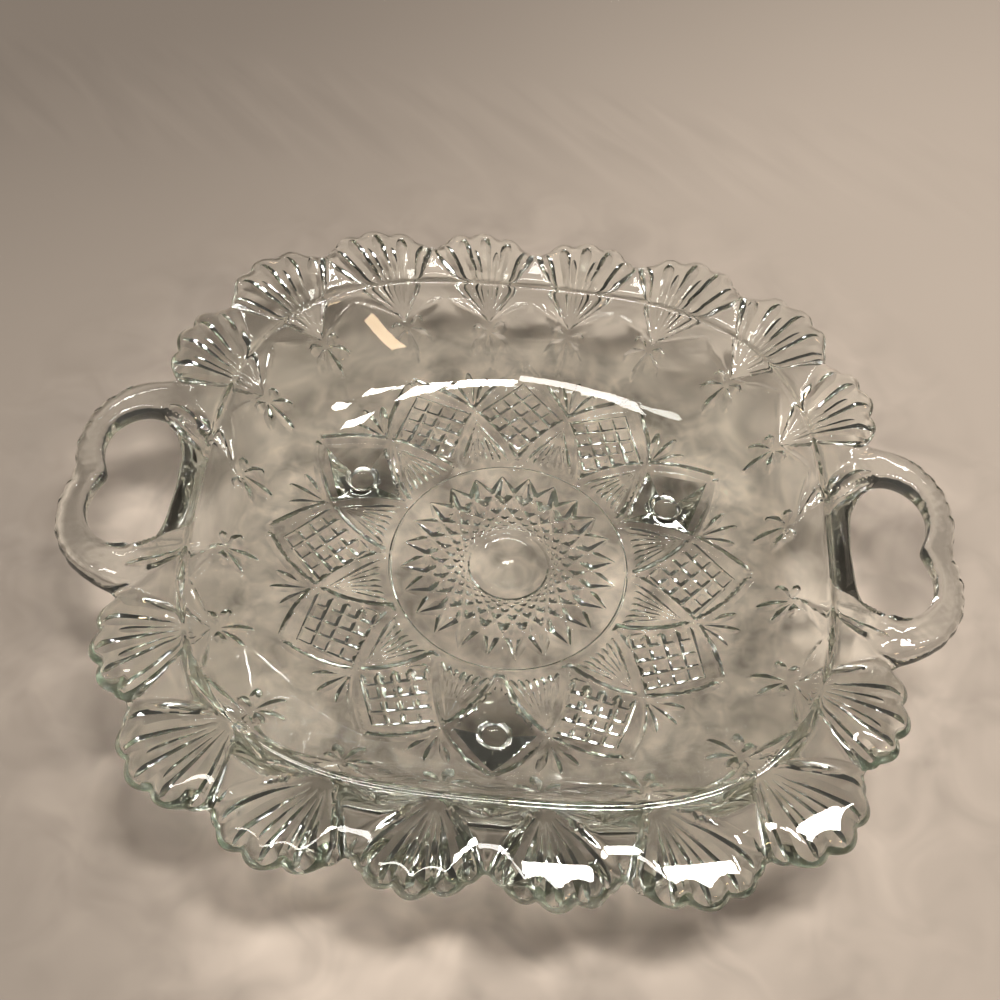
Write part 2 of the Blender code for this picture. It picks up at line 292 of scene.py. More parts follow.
def top_plain(P):
    th, r, rr, rho = polar(P)
    v = (r - rr) / (rim_r(th) - rr)
    wall = np.where(rho <= RHO_RIDGE, inside_z(rho), 30.6 + 1.9 * (rho - RHO_RIDGE))
    share = handle_share(th, r, rr)
    edge = NEAR_RIM.distance(P, DROOP_W)
    bay = smoothstep(7.2, 11.8, np.abs(fan_q(th))) * smoothstep(0.35, 0.85, v)
    rim = rim_top_z(v) - (DROOP * (1 - edge / DROOP_W) ** 1.4 + VALLEY * bay) * (1 - share)
    rim = rim + (HANDLE_TOP - 0.08 - rim) * share + HAMMER * share * hammered(P)
    rim = rim + (31.9 - HOLE_FALL * (r - rr) - rim) * hole_side(P)
    # raised line of the ridge, with a facet on each side
    d = r - rr
    line = soft_min(RIDGE_Z + RIDGE_SLOPE * d, RIDGE_Z + 0.77 - RIDGE_SLOPE * d - 3.0 * np.maximum(d - 1.8, 0), 0.2)
    return soft_min(-soft_min(-rim, -line, 0.15), wall, 0.4)


def root_r(th):
    return ridge_r(th) * ROOT_RHO / RHO_RIDGE


def fan_frame(P, th):
    """Coordinates of each point from the root of the nearest fan: along it, across it, and length of the fan."""
    a = (np.floor(th / SLOT) + 0.5) * SLOT
    ra, re = root_r(a), rim_r(a)
    p = P[:, 0] * np.cos(a) + P[:, 1] * np.sin(a) - ra
    q = -P[:, 0] * np.sin(a) + P[:, 1] * np.cos(a)
    return p, q, re - ra


def under_plain(P):
    th, r, rr, rho = polar(P)
    wall = outside_z(rho_under(r, rr))
    p, q, length = fan_frame(P, th)
    dist, phi = np.hypot(p, q), np.degrees(np.arctan2(np.abs(q), p))
    u = np.clip(dist / length, 0, 1)
    fan = ROOT_Z + (EDGE_UNDER - ROOT_Z) * u
    wide = 37.0 + 14.0 * (1 - u) ** 2
    bay = BAY_UNDER + BAY_RISE * (rho - 83.0)
    rim = fan + (bay - fan) * smoothstep(wide, wide + 10.0, phi)
    out = (1 - smoothstep(17.0, 21.0, np.abs(from_handle(th)))) * smoothstep(79.0, 87.0, r)
    rim = rim + (HANDLE_UNDER - rim) * out
    # between the two fan roots beside a handle, the wall of the bowl runs on up to the finger hole
    rim = rim + (HOLE_UNDER + HOLE_RISE * (rho - RHO_RIDGE) - rim) * hole_side(P)
    # crisp against the fans, a soft fillet in the bays
    z = soft_min(rim, wall, 0.15 + 1.7 * smoothstep(wide - 4.0, wide + 12.0, phi))
    # middle button
    z -= BUTTON_DROP * np.clip(1 - (r / BUTTON_R) ** 2, 0, 1) ** 1.6
    return z


# ---------------------------------------------------------------- cut pattern of the underside
class Cuts:
    """V-shaped cuts: each gives a depth field and the lines that the mesh has to follow."""

    def __init__(self):
        self.items, self.lines = [], []

    def leaf(self, a, b, hw, depth, rise=0.55, bend=0.0, tail=0.12, closed=0.0, power=1.0):
        """Tapered leaf from a to b. hw is the greatest half width, at the share rise of the length. It ends round, or at
        the share closed of its width. The depth goes with the power of the width."""
        self.items.append(("leaf", np.array(a, float), np.array(b, float), hw, depth, rise, bend, tail, closed, power))

    def arc(self, centre, radius, a0, a1, hw, depth):
        self.items.append(("arc", np.array(centre, float), radius, a0, a1, hw, depth))

    @staticmethod
    def leaf_width(s, hw, rise, tail, closed):
        up = tail + (1 - tail) * np.clip(s / rise, 0, 1) ** 0.85
        t = np.clip((s - rise) / (1 - rise), 0, 1)
        down = closed + (1 - closed) * np.sqrt(1 - t * t) if closed == 0 else 1 - (1 - closed) * t
        return hw * np.where(s < rise, up, down)

    def depth(self, P):
        """Greatest cut depth at each point."""
        H = np.zeros(len(P))
        order = np.argsort(P[:, 0], kind="stable")
        xs = P[order, 0]
        for it in self.items:
            if it[0] == "leaf":
                _, a, b, hw, dep, rise, bend, tail, closed, power = it
                pad = hw + abs(bend)
                lo, hi = np.minimum(a, b) - pad, np.maximum(a, b) + pad
            else:
                _, c, R, a0, a1, hw, dep = it
                pts = c + R * np.stack([np.cos(np.linspace(a0, a1, 16)), np.sin(np.linspace(a0, a1, 16))], -1)
                lo, hi = pts.min(0) - hw - 0.5, pts.max(0) + hw + 0.5
            i0, i1 = np.searchsorted(xs, [lo[0], hi[0]])
            idx = order[i0:i1]
            idx = idx[(P[idx, 1] > lo[1]) & (P[idx, 1] < hi[1])]
            if not len(idx):
                continue
            Q = P[idx]
            if it[0] == "leaf":
                L = np.hypot(*(b - a))
                e = (b - a) / L
                n = np.array([-e[1], e[0]])
                s = (Q - a) @ e / L
                off = (Q - a) @ n - bend * 4 * np.clip(s, 0, 1) * (1 - np.clip(s, 0, 1))
                w = self.leaf_width(s, hw, rise, tail, closed)
                ok = (s > 0) & (s < 1)
                w = np.where(ok, np.maximum(w, 1e-3), 1e-3)
                t = np.abs(off) / w
                val = dep * (w / hw) ** power * (1 - np.sqrt(t * t * (1 - 0.0144) + 0.0144)) / (1 - 0.12)
                val = np.where(ok & (t < 1), val, 0)
            else:
                v = Q - c
                ang = np.arctan2(v[:, 1], v[:, 0])
                mid = 0.5 * (a0 + a1)
                ang = mid + (ang - mid + math.pi) % TAU - math.pi
                t = np.abs(np.hypot(v[:, 0], v[:, 1]) - R) / hw
                lo_a, hi_a = min(a0, a1), max(a0, a1)
                end = np.minimum(ang - lo_a, hi_a - ang) * R
                fade = smoothstep(-0.2, 1.2, end)
                val = dep * fade * (1 - np.sqrt(t * t * (1 - 0.0144) + 0.0144)) / (1 - 0.12)
                val = np.where(t < 1, val, 0)
            H[idx] = np.maximum(H[idx], val)
        return H

    def feature_points(self, step):
        out = []
        for it in self.items:
            if it[0] == "leaf":
                _, a, b, hw, dep, rise, bend, tail, closed, power = it
                L = np.hypot(*(b - a))
                e = (b - a) / L
                n = np.array([-e[1], e[0]])
                s = np.linspace(0.0, 1.0, max(3, int(round(L / step)) + 1))
                w = self.leaf_width(s, hw, rise, tail, closed)
                base = a + np.outer(s * L, e) + np.outer(bend * 4 * s * (1 - s), n)
                out.append(base)
                for sg in (1, -1):
                    wide = w > 0.2
                    out.append((base + np.outer(sg * w, n))[wide])
                wide = w > 0.7
                for sg in (0.5, -0.5):
                    out.append((base + np.outer(sg * w, n))[wide])
            else:
                _, c, R, a0, a1, hw, dep = it
                m = max(3, int(round(abs(a1 - a0) * R / step)) + 1)
                t = np.linspace(a0, a1, m)
                for rad in (R, R + hw, R - hw, R + hw / 2, R - hw / 2):
                    out.append(c + rad * np.stack([np.cos(t), np.sin(t)], -1))
        return np.vstack(out)


def rot(p, deg):
    a = math.radians(deg)
    return np.array([p[0] * math.cos(a) - p[1] * math.sin(a), p[0] * math.sin(a) + p[1] * math.cos(a)])


def circle_through(p1, p2, p3):
    ax, ay, bx, by, cx, cy = *p1, *p2, *p3
    d = 2 * (ax * (by - cy) + bx * (cy - ay) + cx * (ay - by))
    ux = ((ax ** 2 + ay ** 2) * (by - cy) + (bx ** 2 + by ** 2) * (cy - ay) + (cx ** 2 + cy ** 2) * (ay - by)) / d
    uy = ((ax ** 2 + ay ** 2) * (cx - bx) + (bx ** 2 + by ** 2) * (ax - cx) + (cx ** 2 + cy ** 2) * (bx - ax)) / d
    return np.array([ux, uy]), math.hypot(ax - ux, ay - uy)


def make_pattern():
    cuts = Cuts()
    c15, s15 = math.cos(math.radians(15)), math.sin(math.radians(15))
    c30, s30 = math.cos(math.radians(30)), math.sin(math.radians(30))
    base = np.array([PETAL_BASE * c30, PETAL_BASE * s30])
    cross = np.array([PETAL_CROSS * c15, PETAL_CROSS * s15])
    tip = np.array([PETAL_TIP, 0.0])
    centre, radius = circle_through(base, cross, tip)
    for k in range(12):
        deg = 30.0 * k
        # pointed arch of the petal
        for sg in (1, -1):
            c = rot((centre[0], sg * centre[1]), deg)
            b0 = rot((base[0], sg * base[1]), deg) - c
            t0 = rot((tip[0], 0), deg) - c
            a0, a1 = math.atan2(b0[1], b0[0]), math.atan2(t0[1], t0[0])
            a1 = a0 + (a1 - a0 + math.pi) % TAU - math.pi
            cuts.arc(c, radius, a0, a1, 1.5, 0.9)
        foot = any(abs((deg - f + 180) % 360 - 180) < 1 for f in FOOT_ANGLES)
        if not foot:
            # crosshatch of small raised squares
            half, pitch, mid = 7.5, 3.75, 44.9
            for i in range(5):
                u = -half + pitch * i
                for sg in (1, -1):
                    e = rot((1, sg), 0) / math.sqrt(2)
                    n = np.array([-e[1], e[0]])
                    reach = half + 0.2
                    a = np.array([mid, 0]) + n * u - e * reach
                    b = np.array([mid, 0]) + n * u + e * reach
                    wide = 1.3 if 0 < i < 4 else 0.9
                    cuts.leaf(rot(a, deg), rot(b, deg), wide, 0.84 * wide, rise=0.1, tail=0.4, closed=0.4)
        # rays inside the spear between two petals, gathered at the crossing
        x = rot((PETAL_CROSS - 3.2, 0), deg + 15)
        for j, spread in enumerate((-10.6, -7.0, -3.5, 0.0, 3.5, 7.0, 10.6)):
            end = rot((31.2, 0), deg + 15 + spread)
            start = x + (end - x) * (0.12 if j % 2 else 0.0)
            cuts.leaf(start, end, 0.98, 0.65, rise=0.66, tail=0.15)
        # rays outside the crossing
        x = rot((PETAL_CROSS + 1.2, 0), deg + 15)
        for spread, length in ((-56, 8.6), (-29, 9.8), (0, 10.6), (29, 9.8), (56, 8.6)):
            d = rot((1, 0), deg + 15 + spread)
            cuts.leaf(x + d * 1.4, x + d * length, 1.15, 0.82, rise=0.55, tail=0.12)
    # thin ring around the star
    for a in range(4):
        cuts.arc((0, 0), RING_R, a * TAU / 4 - 0.02, (a + 1) * TAU / 4 + 0.02, 0.4, 0.3)
    # many-pointed star of straight cuts
    for k in range(STAR_N):
        a0 = math.radians(7.5 + 360.0 / STAR_N * k)
        a1 = a0 + TAU * STAR_STEP / STAR_N
        p0 = np.array([STAR_R * math.cos(a0), STAR_R * math.sin(a0)])
        p1 = np.array([STAR_R * math.cos(a1), STAR_R * math.sin(a1)])
        m = 0.5 * (p0 + p1)
        cuts.leaf(p0, m, 2.05, 1.5, rise=0.34, tail=0.1, closed=0.25)
        cuts.leaf(p1, m, 2.05, 1.5, rise=0.34, tail=0.1, closed=0.25)
    # fans of the rim
    for k in range(20):
        th = (k + 0.5) * SLOT
        deg = math.degrees(th)
        on_handle = abs(float(from_handle(np.array(th)))) < 18
        root = np.array([math.cos(th), math.sin(th)]) * float(root_r(th))
        if not on_handle:
            for q, bend in ((-10.4, -1.7), (-6.1, -0.5), (0.0, 0.0), (6.1, 0.5), (10.4, 1.7)):
                t = th + q / 90.0
                re = float(outline_r(np.array(t)))
                end = np.array([math.cos(t), math.sin(t)]) * (re - 2.2)
                d = end - root
                cuts.leaf(root + d * 0.2, end, 1.5, 1.15, rise=0.82, bend=0.75 * bend, tail=0.15, power=1.4)
            # finer rays between the middle ones
            for q in (-3.05, 3.05):
                t = th + q / 90.0
                end = np.array([math.cos(t), math.sin(t)]) * (float(outline_r(np.array(t))) - 5.0)
                d = end - root
                cuts.leaf(root + d * 0.3, end, 0.8, 0.65, rise=0.75, tail=0.15, power=1.4)
        # zigzag line along the wall, from the root to the middle of each bay
        for sg in (1, -1):
            t = th + sg * SLOT / 2
            if abs(float(from_handle(np.array(t)))) < 2:
                continue
            mid = np.array([math.cos(t), math.sin(t)]) * (float(ridge_r(t)) + SWAG_RHO - RHO_RIDGE)
            d = mid - root
            cuts.leaf(root + d * 0.06, root + d * 0.97, 0.95, 0.6, rise=0.5, tail=0.2)
        # leaf star below the root of the fan
        low = np.array([math.cos(th), math.sin(th)]) * (float(root_r(th)) - 1.5)
        for spread, length in ((0, 8.2), (50, 6.6), (-50, 6.6), (95, 4.4), (-95, 4.4)):
            d = rot((-1, 0), deg + spread)
            cuts.leaf(low + d * 1.0, low + d * length, 1.4, 1.08, rise=0.5, tail=0.2)
    # leaf on each side of a handle's hole
    for sx in (1, -1):
        for sy in (1, -1):
            cuts.leaf((sx * 74.6, sy * 15.2), (sx * 84.6, sy * 22.4), 1.05, 0.8, rise=0.6, bend=1.5 * sx * sy, tail=0.15)
    return cuts


CUTS = make_pattern()
KITE = ((PETAL_TIP - FOOT_R - 2.4), 9.6, (FOOT_R - PETAL_BASE - 3.0))


def foot_local(P, deg):
    a = math.radians(deg)
    p = P[:, 0] * math.cos(a) + P[:, 1] * math.sin(a) - FOOT_R
    q = -P[:, 0] * math.sin(a) + P[:, 1] * math.cos(a)
    return p, q


def under_face(P):
    """Underside with its cuts and feet."""
    z = under_plain(P) + CUTS.depth(P)
    for deg in FOOT_ANGLES:
        p, q = foot_local(P, deg)
        near = (np.abs(p) < 16) & (np.abs(q) < 13)
        pp, qq = p[near], q[near]
        d = np.hypot(pp, qq)
        # four plane facets that end in a round peg
        f = np.abs(pp) / np.where(pp >= 0, KITE[0], KITE[2]) + np.abs(qq) / KITE[1]
        facets = FOOT_APEX + (under_plain(P[near]) - FOOT_APEX) * f
        peg = 3.2 * np.maximum(d - FOOT_TIP_R, 0) + 0.3 * smoothstep(0.75, 1.0, d / FOOT_TIP_R)
        z[near] = np.where(f < 1, np.minimum(np.maximum(facets, 0), peg), z[near])
    return z


def edge_shape(P, th, r):
    """Width of the edge rounding: the loops of the handles are almost round, the bowl's side of the finger holes is crisp."""
    near = np.abs(from_handle(th))
    on_handle = (1 - smoothstep(17.5, 21.0, near)) * smoothstep(76.0, 80.0, r)
    gap = hole_gap(P)
    at_hole = (gap < 4.6) & (gap < NEAR_RIM.distance(P, DROOP_W) + 0.2)
    loop = smoothstep(-5.0, 4.0, np.abs(P[:, 0]) - HOLE_MID)
    w = np.where(at_hole, HOLE_W + (HOLE_OUT_W - HOLE_W) * loop, EDGE_W + (HANDLE_W - EDGE_W) * on_handle)
    return w, at_hole, on_handle


def faces_at(P, dist):
    """Upper and lower height at each point, rounded together along the edges."""
    th, r, rr, rho = polar(P)
    top, low, plain_low = top_plain(P), under_face(P), under_plain(P)
    w, at_hole, on_handle = edge_shape(P, th, r)

    def rounded(width):
        return np.sqrt(np.clip(1 - (1 - np.clip(dist / width, 0, 1)) ** 2, 0, 1))
    seam = plain_low + 0.5 * (top - plain_low)
    return seam + (top - seam) * rounded(w), seam + (low - seam) * rounded(w)


# ---------------------------------------------------------------- points of the two faces
def hexgrid(step):
    nx, ny = int(215 / step), int(190 / (step * 0.866))
    X, Y = np.meshgrid(np.arange(-nx // 2, nx // 2 + 1), np.arange(-ny // 2, ny // 2 + 1))
    return np.stack([(X + 0.5 * (Y & 1)) * step, Y * step * 0.866], -1).reshape(-1, 2).astype(float)


class Taken:
    """Raster of the places that already hold points."""

    def __init__(self, cell=0.1):
        self.cell, self.nx, self.ny = cell, int(240 / cell), int(210 / cell)
        self.m = np.zeros((self.nx, self.ny), bool)

    def _ij(self, P):
        return (np.clip(((P[:, 0] + 120) / self.cell).astype(int), 0, self.nx - 1),
                np.clip(((P[:, 1] + 105) / self.cell).astype(int), 0, self.ny - 1))

    def add(self, P, radius):
        one = np.zeros_like(self.m)
        one[self._ij(P)] = True
        k = int(round(radius / self.cell))
        out = one.copy()
        for dx in range(-k, k + 1):
            for dy in range(-k, k + 1):
                if (dx or dy) and dx * dx + dy * dy <= k * k + 0.5:
                    out |= np.roll(np.roll(one, dx, 0), dy, 1)
        self.m |= out

    def free(self, P):
        return ~self.m[self._ij(P)]


def edge_rows():
    """Rows of points beside every boundary."""
    out = []
    for n, B in enumerate(BOUNDS):
        shares = (0.034, 0.134, 0.293, 0.5, 0.741, 1.0)
        t = np.roll(B, -1, 0) - np.roll(B, 1, 0)
        t /= np.hypot(*t.T)[:, None]
        inward = np.stack([-t[:, 1], t[:, 0]], -1)
        area = 0.5 * np.sum(B[:, 0] * np.roll(B[:, 1], -1) - np.roll(B[:, 0], -1) * B[:, 1])
        if (area > 0) == (n > 0):
            inward = -inward
        th = np.arctan2(B[:, 1], B[:, 0])
        w = edge_shape(B, th, np.hypot(B[:, 0], B[:, 1]))[0]
        for j, s in enumerate(shares):
            Q = B + inward * (w * s)[:, None]
            d = NEAR.distance(Q)
            ok = d > 0.965 * w * s
            if n == 0 and s > 0.6:
                ok &= (np.arange(len(Q)) % 2 == 0)
            out.append(Q[ok])
    return np.vstack(out)


def unique_points(P, cell):
    key = np.round(P / cell).astype(np.int64)
    _, i = np.unique(key[:, 0] * 1000003 + key[:, 1], return_index=True)
    return P[np.sort(i)]


def triangulate(boundary, inner):
    pts = np.vstack([boundary, inner])
    n, edges, k = len(boundary), [], 0
    for B in BOUNDS:
        m = len(B)
        edges += [(k + i, k + (i + 1) % m) for i in range(m)]
        k += m
    res = delaunay_2d_cdt([Vector(p) for p in pts.tolist()], edges, [], 0, 1e-9, True)
    V = np.array([tuple(v) for v in res[0]])
    T = np.array([t for t in res[2] if len(t) == 3], int)
    # number of the boundary point that each vertex comes from, or -1
    source = np.array([min(o) if len(o) and min(o) < n else -1 for o in res[3]])
    on = source >= 0
    V[on] = boundary[source[on]]
    # a face with a corner away from the boundary is glass, and the others are judged by their middle
    inside = ~on[T].all(1) | inside_domain(V[T].mean(1))
    return V, T[inside], source


def ring_lines(offsets, step):
    th = np.linspace(0, TAU, 4001)[:-1]
    out = []
    for o in offsets:
        r = ridge_r(th) + o
        out.append(resample(np.stack([r * np.cos(th), r * np.sin(th)], -1), step))
    return np.vstack(out)


def swag_points():
    """Crease where the wall of the bowl meets the underside of the rim."""
    th = np.linspace(0, TAU, 1601)[:-1]
    lo, hi = ridge_r(th) - 0.5, ridge_r(th) + 8.0

    def gap(r):
        P = np.stack([r * np.cos(th), r * np.sin(th)], -1)
        t, rr0, rr, rho = polar(P)
        return outside_z(rho_under(rr0, rr)) - under_plain(P)
    for _ in range(30):
        mid = 0.5 * (lo + hi)
        above = gap(mid) > 0.06
        hi = np.where(above, mid, hi)
        lo = np.where(above, lo, mid)
    return np.stack([lo * np.cos(th), lo * np.sin(th)], -1)


def build_glass():
    boundary = np.vstack(BOUNDS)
    rows = edge_rows()
    # underside
    feats = [swag_points()]
    for deg in FOOT_ANGLES:
        a = math.radians(deg)
        e, n = np.array([math.cos(a), math.sin(a)]), np.array([-math.sin(a), math.cos(a)])
        c = e * FOOT_R
        t = np.arange(60) * TAU / 60
        for rad in (FOOT_TIP_R, FOOT_TIP_R * 0.9, FOOT_TIP_R * 1.12):
            feats.append(c + rad * (np.outer(np.cos(t), e) + np.outer(np.sin(t), n)))
        corners = [c + e * KITE[0], c + n * KITE[1], c - e * KITE[2], c - n * KITE[1]]
        for p0, p1 in zip(corners, corners[1:] + corners[:1]):
            feats.append(p0 + np.outer(np.linspace(0, 1, 48), p1 - p0))
            d0 = p0 - c
            feats.append(c + np.outer(np.linspace(FOOT_TIP_R / np.hypot(*d0), 1, 26), d0))
    t = np.arange(130) * TAU / 130
    for rad in (BUTTON_R, BUTTON_R * 0.985, BUTTON_R * 0.95, BUTTON_R * 0.88, BUTTON_R * 0.78):
        feats.append(rad * np.stack([np.cos(t), np.sin(t)], -1))
    feats = np.vstack(feats + [CUTS.feature_points(0.4)])
    ok = inside_domain(feats)
    feats = feats[ok]
    feats = feats[NEAR.distance(feats) > 0.5]
    feats = unique_points(feats, 0.16)
    taken = Taken()
    taken.add(np.vstack([boundary, rows]), 0.2)
    feats = feats[taken.free(feats)]
    taken.add(feats, 0.3)
    fine = hexgrid(0.55)
    th, r, rr, rho = polar(fine)
    p, q, length = fan_frame(fine, th)
    phi = np.degrees(np.arctan2(np.abs(q), p))
    fan_area = (p > -1) & (phi < 55) & (np.abs(from_handle(th)) > 19)
    fine = fine[((r < 62.5) | fan_area | ((rho > 55) & (rho < 78))) & inside_domain(fine)]
    fine = fine[taken.free(fine)]
    taken.add(fine, 0.5)
    coarse = hexgrid(0.95)
    coarse = coarse[inside_domain(coarse)]
    coarse = coarse[taken.free(coarse)]
    inner = np.vstack([rows, feats, fine, coarse])
    inner = inner[inside_domain(inner)]
    Vb, Tb, sb = triangulate(boundary, inner)
    # upper face
    ridge = ring_lines((-2.2, -1.5, -1.0, -0.65, -0.35, 0.0, 0.35, 0.65, 1.0, 1.5, 2.2), 0.9)
    ridge = ridge[NEAR.distance(ridge) > 0.6]
    taken = Taken()
    taken.add(np.vstack([boundary, rows]), 0.3)
    ridge = ridge[taken.free(ridge)]
    taken.add(ridge, 0.5)
    fine = hexgrid(0.6)
    th, r, rr, rho = polar(fine)
    fine = fine[(r > rr + 2.0) & inside_domain(fine)]
    fine = fine[taken.free(fine)]
    taken.add(fine, 0.5)
    grid = hexgrid(1.25)
    grid = grid[inside_domain(grid)]
    grid = grid[taken.free(grid)]
    inner = np.vstack([rows, ridge, fine, grid])
    Vt, Tt, st = triangulate(boundary, inner[inside_domain(inner)])

    dt, db = NEAR.distance(Vt), NEAR.distance(Vb)
    dt[st >= 0], db[sb >= 0] = 0.0, 0.0
    zt, zb = faces_at(Vt, dt)[0], faces_at(Vb, db)[1]
    V = np.vstack([np.c_[Vt, zt], np.c_[Vb, zb]])
    T = np.vstack([Tt, Tb[:, ::-1] + len(Vt)])
    # weld the two faces along the boundary
    source = np.r_[st, sb]
    target = np.arange(len(V))
    first = {}
    for i in np.flatnonzero(source >= 0):
        target[i] = first.setdefault(int(source[i]), i)
    T = target[T]
    used = np.unique(T)
    new = np.full(len(V), -1)
    new[used] = np.arange(len(used))
    V, T = V[used], new[T]
    T = T[(T[:, 0] != T[:, 1]) & (T[:, 1] != T[:, 2]) & (T[:, 2] != T[:, 0])]
    # every edge has to be shared by exactly two faces
    E = np.sort(np.vstack([T[:, [0, 1]], T[:, [1, 2]], T[:, [2, 0]]]), axis=1)
    _, count = np.unique(E[:, 0] * np.int64(10 ** 7) + E[:, 1], return_counts=True)
    print("glass:", len(V), "points", len(T), "faces, open or shared edges:", int((count != 2).sum()))
    mesh = bpy.data.meshes.new("candy_dish_glass")
    mesh.vertices.add(len(V))
    mesh.vertices.foreach_set("co", (V * MM).ravel())
    mesh.loops.add(len(T) * 3)
    mesh.loops.foreach_set("vertex_index", T.ravel())
    mesh.polygons.add(len(T))
    mesh.polygons.foreach_set("loop_start", np.arange(len(T)) * 3)
    mesh.update(calc_edges=True)
    mesh.validate()
    mesh.shade_smooth()
    mesh.set_sharp_from_angle(angle=math.radians(34))
    ob = bpy.data.objects.new("candy_dish_glass", mesh)
    bpy.context.scene.collection.objects.link(ob)
    return ob


# ---------------------------------------------------------------- materials
def node(tree, kind, **values):
    n = tree.nodes.new(kind)
    for k, v in values.items():
        setattr(n, k, v)
    return n


def glass_material():
    mat = bpy.data.materials.new("pressed_clear_glass")
    mat.use_nodes = True
    t = mat.node_tree
    bsdf = t.nodes["Principled BSDF"]
    out = t.nodes["Material Output"]
    bsdf.inputs["Base Color"].default_value = (0.98, 0.99, 0.98, 1)
    bsdf.inputs["Transmission Weight"].default_value = 1.0
    bsdf.inputs["IOR"].default_value = 1.52
    co = node(t, "ShaderNodeTexCoord")
    # faint smears and handling wear
    smear = node(t, "ShaderNodeTexNoise")
    smear.inputs["Scale"].default_value = 55.0
    smear.inputs["Detail"].default_value = 4.0
    ramp = node(t, "ShaderNodeMapRange")
    ramp.inputs["From Min"].default_value = 0.45
    ramp.inputs["From Max"].default_value = 0.75
    ramp.inputs["To Min"].default_value = 0.004
    ramp.inputs["To Max"].default_value = 0.03
    t.links.new(co.outputs["Object"], smear.inputs["Vector"])
    t.links.new(smear.outputs["Fac"], ramp.inputs["Value"])
    t.links.new(ramp.outputs["Result"], bsdf.inputs["Roughness"])
    # slow waviness of pressed glass
    wave = node(t, "ShaderNodeTexNoise")
    wave.inputs["Scale"].default_value = 150.0
    wave.inputs["Detail"].default_value = 1.0
    bump = node(t, "ShaderNodeBump")
    bump.inputs["Strength"].default_value = 0.25
    bump.inputs["Distance"].default_value = 0.00012
    t.links.new(co.outputs["Object"], wave.inputs["Vector"])
    t.links.new(wave.outputs["Fac"], bump.inputs["Height"])
    t.links.new(bump.outputs["Normal"], bsdf.inputs["Normal"])
    vol = node(t, "ShaderNodeVolumeAbsorption")
    vol.inputs["Color"].default_value = (0.525, 0.575, 0.47, 1)
    vol.inputs["Density"].default_value = 19.0
    t.links.new(vol.outputs["Volume"], out.inputs["Volume"])
    return mat


